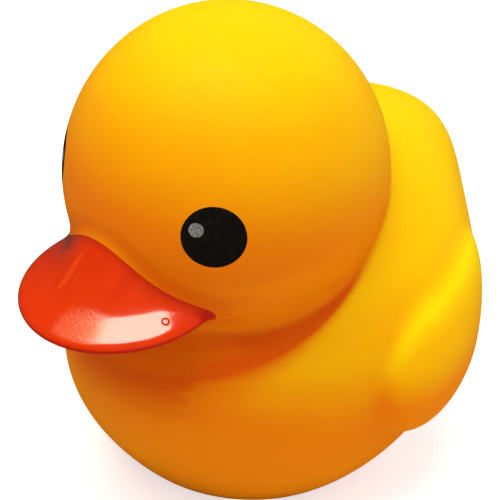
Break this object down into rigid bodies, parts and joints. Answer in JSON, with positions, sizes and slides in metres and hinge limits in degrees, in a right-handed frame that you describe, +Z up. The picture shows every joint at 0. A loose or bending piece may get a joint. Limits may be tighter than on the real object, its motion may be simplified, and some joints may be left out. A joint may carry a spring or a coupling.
{
  "type": "rubber duck",
  "caption": "Hollow soft-vinyl bath duck with a round head, raised tail, wing lobes, painted eyes and a flared bill; floats or stands on its flat base.",
  "frame": {"origin": "on the ground under the middle of the duck's bounding box", "axes": "+Z up, the duck faces -Y and its left side is at +X; Y is the longest side of its box and X the shortest"},
  "size_m": [0.0742, 0.0868, 0.0806],
  "materials": {
    "vinyl_yellow": "satin",
    "bill_paint": "gloss",
    "eye_paint": "satin",
    "glint_paint": "matte"
  },
  "bodies": {
    "root": {"duck_shell": "vinyl_yellow"}
  },
  "joints": []
}
